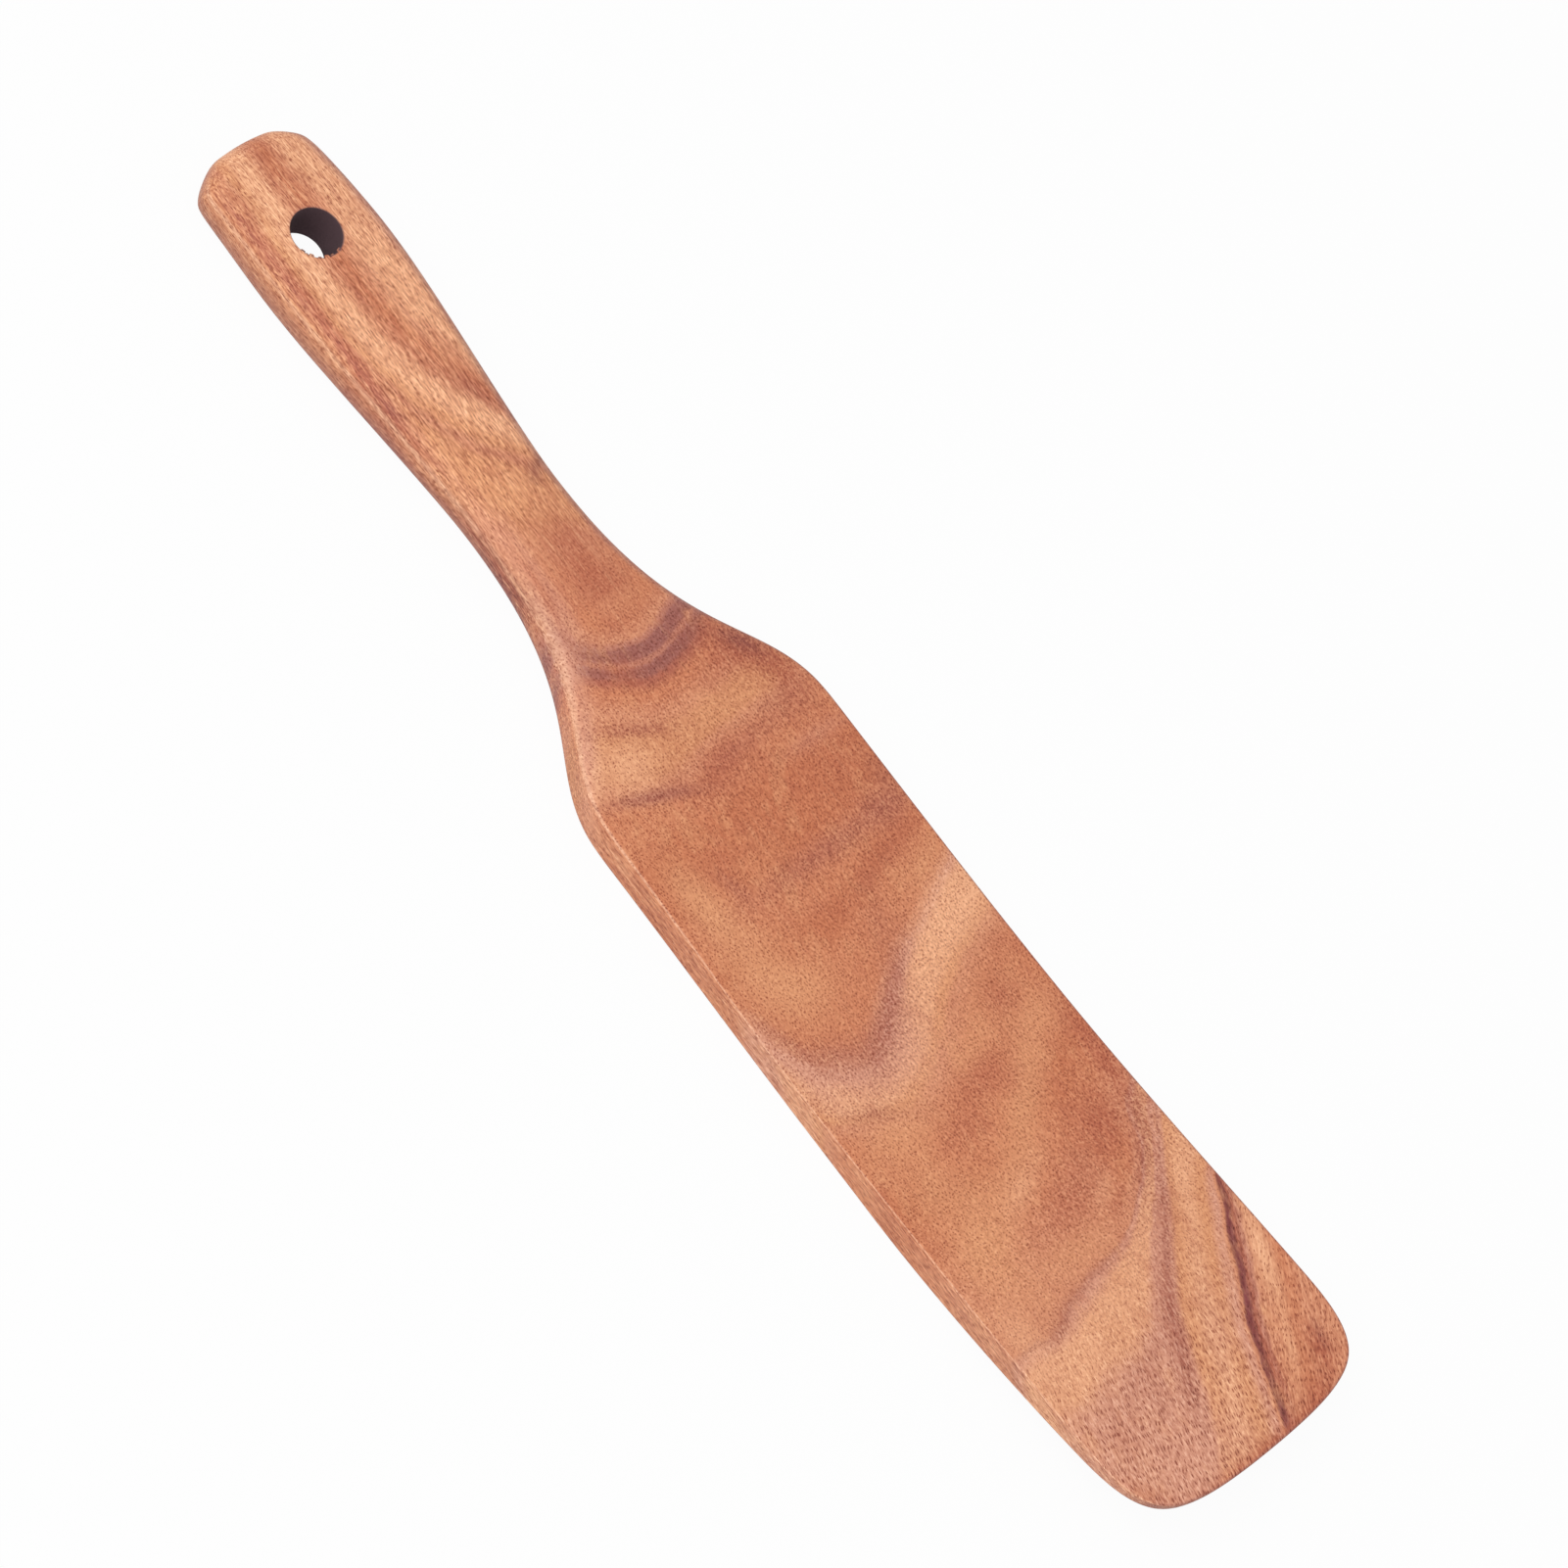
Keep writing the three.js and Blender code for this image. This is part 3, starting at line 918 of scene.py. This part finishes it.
def grow_figure(piece):
    """Stores where each point of the surface lies in the wood: its ring, its blotches and how it is cut,
    and where light and shade are painted on its walls and edges.
    """
    spots = read_vectors(piece, "co") / MM
    normals = read_vectors(piece, "normal")
    x, y, z = spots.T
    depth = top_height(x) - z
    places = np.column_stack([x - RING_INCLINE * depth, y])
    store(piece, "ring", growth_rings(places))
    for name, blotches in BLOTCHES.items():
        store(piece, name + " blotches", painted(places, blotches))
    store(piece, "dotted", painted(places, DOTTED_BANDS))
    bore = np.abs(np.hypot(x - HOLE_X, y - HOLE_Y) - HOLE_RADIUS) < BORE_SLACK
    store(piece, "bore", bore)
    mark_regions(piece, x, np.where(bore, 0, 1 - np.abs(normals[:, 2])))
    mark_painted_edge_light(piece, spots, normals, bore)


# Materials

class Sheet:
    """The nodes of one material or of the world, added one by one."""

    def __init__(self, owner):
        owner.use_nodes = True
        self.tree = owner.node_tree
        self.tree.nodes.clear()

    def feed(self, socket, value):
        if isinstance(value, bpy.types.NodeSocket):
            self.tree.links.new(value, socket)
        else:
            socket.default_value = value

    def add(self, kind, inputs, **settings):
        node = self.tree.nodes.new(kind)
        for name, value in settings.items():
            setattr(node, name, value)
        for name, value in inputs.items():
            self.feed(node.inputs[name], value)
        return node

    def reckon(self, operation, *values):
        return self.add("ShaderNodeMath", dict(enumerate(values)), operation=operation).outputs[0]

    def times(self, first, second):
        return self.reckon("MULTIPLY", first, second)

    def blend(self, share, first, second, mode="MIX"):
        """Two colours mixed, on the Mix node's colour sockets."""
        inputs = {0: share, 6: first, 7: second}
        return self.add("ShaderNodeMix", inputs, data_type="RGBA", blend_type=mode).outputs[2]

    def between(self, share, first, second):
        """Two numbers mixed, on the Mix node's number sockets."""
        inputs = {0: share, 2: first, 3: second}
        return self.add("ShaderNodeMix", inputs, data_type="FLOAT").outputs[0]

    def span(self, value, low, high, start=0, end=1):
        """The value's way from low to high, eased, as a way from start to end."""
        inputs = {0: value, 1: low, 2: high, 3: start, 4: end}
        return self.add("ShaderNodeMapRange", inputs, interpolation_type="SMOOTHSTEP").outputs[0]

    def laid(self, place, length, width, depth, turn):
        """The place, stretched so that a pattern has this size, and turned on the top face."""
        inputs = {"Vector": place, "Rotation": (0, 0, math.radians(turn)), "Scale": (length, width, depth)}
        return self.add("ShaderNodeMapping", inputs, vector_type="TEXTURE").outputs[0]

    def noise(self, place, length, width, depth, turn, detail, roughness):
        laid = self.laid(place, length, width, depth, turn)
        inputs = {"Vector": laid, "Scale": 1, "Detail": detail, "Roughness": roughness}
        return self.add("ShaderNodeTexNoise", inputs).outputs[0]

    def stored(self, name):
        return self.add("ShaderNodeAttribute", {}, attribute_name=name).outputs["Fac"]


def tone(name):
    """A tone as the linear colour that Blender takes."""
    screen = Color([value / SCREEN_WHITE for value in TONES[name]])
    return (*screen.from_srgb_to_scene_linear(), 1)


def by_region(sheet, short, turned, corner, long):
    """Chooses a pattern by its place: short on the blade, turned towards the tip, along the corner's
    growth line beyond it, and long on the handle and the walls."""
    beyond = sheet.reckon("GREATER_THAN", sheet.stored("ring"), CORNER_RING)
    blade = sheet.between(sheet.stored("tipward"), short, turned)
    blade = sheet.between(beyond, blade, corner)
    return sheet.between(sheet.stored("streaky"), blade, long)


def wood_grain(sheet, place):
    """Fine grain, from 0 in the dark specks to 1 in the pale flecks."""
    grains = (SHORT_GRAIN, TURNED_GRAIN, CORNER_GRAIN, LONG_GRAIN)
    patterns = [sheet.noise(place, *grain) for grain in grains]
    low, high = GRAIN_SPAN
    return sheet.add("ShaderNodeMapRange", {0: by_region(sheet, *patterns), 1: low, 2: high}).outputs[0]


def wavy(sheet, place):
    """The place, swayed to and fro, so that a pattern laid on it wavers."""
    laid = sheet.laid(place, SWAY_SIZE, SWAY_SIZE, SWAY_SIZE, 0)
    sways = sheet.add("ShaderNodeTexNoise", {"Vector": laid, "Scale": 1, "Detail": 1}).outputs["Color"]
    inputs = {0: sways, 1: (SWAY, SWAY, SWAY), 2: place}
    return sheet.add("ShaderNodeVectorMath", inputs, operation="MULTIPLY_ADD").outputs[0]


def pore_layer(sheet, place, pores, space):
    """Pores scattered over the cells of a pattern, some of them faint."""
    length, width, turn, reach = pores
    inputs = {"Vector": sheet.laid(place, length, width, width, turn), "Scale": 1}
    cells = sheet.add("ShaderNodeTexVoronoi", inputs, voronoi_dimensions=space)
    near = sheet.span(cells.outputs["Distance"], PORE_CORE, reach, 1, 0)
    chance = sheet.add("ShaderNodeSeparateColor", {0: cells.outputs["Color"]}).outputs[0]
    return sheet.times(near, sheet.span(chance, *PORE_CHANCE))


def wood_pores(sheet, place):
    """Vessels cut open along the fibre, 1 in them and 0 between them."""
    swayed = wavy(sheet, place)
    short = pore_layer(sheet, swayed, SHORT_PORES, "2D")
    turned = pore_layer(sheet, swayed, TURNED_PORES, "2D")
    corner = pore_layer(sheet, swayed, CORNER_PORES, "2D")
    long = pore_layer(sheet, place, LONG_PORES, "3D")
    return by_region(sheet, short, turned, corner, long)


def wavering_ring(sheet, place, grain):
    """The ring that a point lies in, with lines that waver and dissolve a little into the grain."""
    waver = sheet.span(sheet.noise(place, *WAVER), *WAVER_SPAN, -RING_WAVER, RING_WAVER)
    dissolve = sheet.span(grain, 0, 1, -RING_DISSOLVE, RING_DISSOLVE)
    return sheet.reckon("ADD", sheet.reckon("ADD", sheet.stored("ring"), waver), dissolve)


def ring_ramp(sheet, ring, stops):
    first = stops[0][0]
    last = stops[-1][0]
    share = sheet.add("ShaderNodeMapRange", {0: ring, 1: first, 2: last}).outputs[0]
    node = sheet.add("ShaderNodeValToRGB", {0: share})
    ramp = node.color_ramp
    ramp.interpolation = "EASE"
    while len(ramp.elements) < len(stops):
        ramp.elements.new(1)
    for element, (at, name) in zip(ramp.elements, stops):
        element.position = (at - first) / (last - first)
        element.color = tone(name)
    return node.outputs[0]


def ring_colour(sheet, ring):
    colour = ring_ramp(sheet, ring, RING_TONES[0])
    for stops in RING_TONES[1:]:
        past = sheet.reckon("GREATER_THAN", ring, stops[0][0])
        colour = sheet.blend(past, colour, ring_ramp(sheet, ring, stops))
    return colour


def with_mottle(sheet, colour, place):
    """Soft clouds of gold and red, as wide as a finger."""
    gold = sheet.noise(place, *GOLD_CLOUDS)
    red = sheet.noise(place, *RED_CLOUDS)
    colour = sheet.blend(sheet.span(gold, *CLOUD_SPAN, 0, GOLD_STRENGTH), colour, tone("honey"))
    return sheet.blend(sheet.span(red, *CLOUD_SPAN, 0, RED_STRENGTH), colour, tone("russet"))


def with_blotches(sheet, colour, grain):
    """The placed blotches, their edges broken up by the grain."""
    broken = sheet.span(grain, 0, 1, 1 + BLOTCH_BREAK, 1 - BLOTCH_BREAK)
    for name in BLOTCHES:
        share = sheet.times(sheet.stored(name + " blotches"), broken)
        colour = sheet.blend(share, colour, tone(name))
    return colour


def with_growth_lines(sheet, colour, ring, grain, pores):
    """Dark lines at the end of each year's growth, and the bands of dots beside them."""
    dots = sheet.reckon("MAXIMUM", sheet.span(grain, *DOT_SPAN, *DOT_SHARES), pores)
    body = sheet.reckon("ADD", dots, LINE_BODY)
    clear = sheet.reckon("SUBTRACT", 1, sheet.stored("rose blotches"))
    for at, reach, darkness in DARK_LINES:
        near = sheet.reckon("ABSOLUTE", sheet.reckon("SUBTRACT", ring, at))
        share = sheet.times(sheet.span(near, reach, 0, 0, darkness), body)
        colour = sheet.blend(sheet.times(share, clear), colour, tone("wine"))
    bands = sheet.stored("dotted")
    colour = sheet.blend(sheet.times(bands, BAND_HAZE), colour, tone("plum"))
    return sheet.blend(sheet.times(bands, dots), colour, tone("brick"))


def with_painted_edge_light(sheet, colour):
    """Painted light and shade: paler walls, painted shade on the far and lower edges, and a painted
    highlight along the near edge of the top face.
    """
    for name, (strength, tint) in PAINTED_LIGHT_TINTS.items():
        colour = sheet.blend(sheet.times(sheet.stored(name), strength), colour, tone(tint))
    return colour


def with_streaks(sheet, colour, place):
    """Long fibres, clearest on the handle and the walls."""
    streaks = sheet.noise(place, *STREAKS)
    share = sheet.between(sheet.stored("streaky"), BLADE_STREAKS, HANDLE_STREAKS)
    darker = sheet.times(sheet.span(streaks, *DARK_STREAK_SPAN), share)
    lighter = sheet.times(sheet.span(streaks, *PALE_STREAK_SPAN), share)
    colour = sheet.blend(darker, colour, tone("brick"))
    return sheet.blend(lighter, colour, tone("straw"))


def with_specks(sheet, colour, grain, pores):
    """Dark specks, pale flecks and pores, strongest on the handle and towards the tip."""
    strength = sheet.reckon("MAXIMUM", sheet.stored("streaky"), sheet.stored("tipward"))
    strength = sheet.span(strength, 0, 1, BLADE_SPECKS, HANDLE_SPECKS)
    darker = sheet.times(sheet.span(grain, GRAIN_MIDDLE, 0, 0, SPECK_STRENGTH), strength)
    lighter = sheet.times(sheet.span(grain, GRAIN_MIDDLE, 1, 0, FLECK_STRENGTH), strength)
    colour = sheet.blend(darker, colour, SPECK_SHADE, "MULTIPLY")
    colour = sheet.blend(lighter, colour, FLECK_GLOW, "MULTIPLY")
    return sheet.blend(sheet.times(pores, strength), colour, SPECK_SHADE, "MULTIPLY")


def wood_colour(sheet, place, grain, pores):
    """The wood's colour, laid on in layers, from the rings to the pores, with painted light and shade on
    the walls and edges among them.
    """
    ring = wavering_ring(sheet, place, grain)
    colour = ring_colour(sheet, ring)
    colour = with_mottle(sheet, colour, place)
    colour = with_blotches(sheet, colour, grain)
    colour = with_growth_lines(sheet, colour, ring, grain, pores)
    colour = with_painted_edge_light(sheet, colour)
    colour = with_streaks(sheet, colour, place)
    return with_specks(sheet, colour, grain, pores)


def oiled_wood():
    material = bpy.data.materials.new("oiled wood")
    sheet = Sheet(material)
    coordinates = sheet.add("ShaderNodeTexCoord", {}).outputs["Object"]
    place = sheet.add("ShaderNodeMapping", {"Vector": coordinates, "Scale": (1 / MM,) * 3}).outputs[0]
    grain = wood_grain(sheet, place)
    pores = wood_pores(sheet, place)
    bore = sheet.stored("bore")
    colour = sheet.blend(bore, wood_colour(sheet, place, grain, pores), tone("charcoal"))
    rough = sheet.span(pores, 0, 1, WOOD_ROUGHNESS, PORE_ROUGHNESS)
    rough = sheet.between(bore, rough, BORE_ROUGHNESS)
    height = sheet.reckon("SUBTRACT", sheet.times(grain, GRAIN_RELIEF), pores)
    bump = sheet.add("ShaderNodeBump", {
        "Strength": BUMP_STRENGTH,
        "Distance": BUMP_DEPTH * MM,
        "Height": height,
    })
    surface = sheet.add("ShaderNodeBsdfPrincipled", {
        "Base Color": colour,
        "Roughness": rough,
        "Specular IOR Level": WOOD_SHINE,
        "Normal": bump.outputs[0],
    })
    sheet.add("ShaderNodeOutputMaterial", {"Surface": surface.outputs[0]})
    return material


# Stage

def seen_directly(sheet):
    """1 where the camera sees the place itself, or in a reflection or through glass, and 0 elsewhere."""
    path = sheet.add("ShaderNodeLightPath", {})
    mirrored = sheet.reckon("MAXIMUM", path.outputs["Is Glossy Ray"], path.outputs["Is Transmission Ray"])
    return sheet.reckon("MAXIMUM", path.outputs["Is Camera Ray"], mirrored)


def make_floor():
    bpy.ops.object.select_all(action="DESELECT")
    bpy.ops.mesh.primitive_plane_add(size=FLOOR_SIZE)
    floor = bpy.context.object
    floor.name = "floor"
    material = bpy.data.materials.new("white floor")
    sheet = Sheet(material)
    matt = sheet.add("ShaderNodeBsdfDiffuse", {"Color": FLOOR_COLOUR})
    white = sheet.add("ShaderNodeEmission", {"Strength": 1})
    share = sheet.times(seen_directly(sheet), FLOOR_WHITENESS)
    mix = sheet.add("ShaderNodeMixShader", {0: share, 1: matt.outputs[0], 2: white.outputs[0]})
    sheet.add("ShaderNodeOutputMaterial", {"Surface": mix.outputs[0]})
    floor.data.materials.append(material)


def make_light():
    world = bpy.data.worlds.new("studio")
    bpy.context.scene.world = world
    sheet = Sheet(world)
    light = sheet.add("ShaderNodeBackground", {"Color": WHITE, "Strength": WORLD_STRENGTH})
    backdrop = sheet.add("ShaderNodeBackground", {"Color": WHITE, "Strength": 1})
    inputs = {0: seen_directly(sheet), 1: light.outputs[0], 2: backdrop.outputs[0]}
    mix = sheet.add("ShaderNodeMixShader", inputs)
    sheet.add("ShaderNodeOutputWorld", {"Surface": mix.outputs[0]})
    lamp = bpy.data.lights.new("soft box", "AREA")
    lamp.shape = "RECTANGLE"
    lamp.size, lamp.size_y = SOFT_BOX_SIZE
    lamp.energy = SOFT_BOX_POWER
    box = bpy.data.objects.new("soft box", lamp)
    bpy.context.scene.collection.objects.link(box)
    box.location = SOFT_BOX_PLACE
    box.rotation_euler = (-box.location).to_track_quat("-Z", "Y").to_euler()


def make_camera():
    back = Vector((
        math.sin(VIEW_AZIMUTH) * math.cos(VIEW_ELEVATION),
        -math.cos(VIEW_AZIMUTH) * math.cos(VIEW_ELEVATION),
        math.sin(VIEW_ELEVATION)))
    length_way = (Vector((1, 0, 0)) - back.x * back).normalized()
    width_way = back.cross(length_way)
    right = length_way * math.cos(VIEW_TURN) + width_way * math.sin(VIEW_TURN)
    up = width_way * math.cos(VIEW_TURN) - length_way * math.sin(VIEW_TURN)
    lens = bpy.data.cameras.new("camera")
    lens.sensor_width = SENSOR_WIDTH
    lens.lens = SENSOR_WIDTH * VIEW_DISTANCE / FRAME_WIDTH
    camera = bpy.data.objects.new("camera", lens)
    bpy.context.scene.collection.objects.link(camera)
    place = VIEW_CENTRE + right * VIEW_SHIFT_RIGHT + up * VIEW_SHIFT_UP + back * VIEW_DISTANCE
    turned = Matrix((right, up, back)).transposed().to_4x4()
    camera.matrix_world = Matrix.Translation(place * MM) @ turned
    bpy.context.scene.camera = camera


make_camera()
make_light()
make_floor()
spatula = carve_spatula()
grow_figure(spatula)
spatula.data.materials.clear()
spatula.data.materials.append(oiled_wood())
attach(spatula, "root")
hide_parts("spatula_body")
bpy.context.scene.view_settings.view_transform = "Standard"
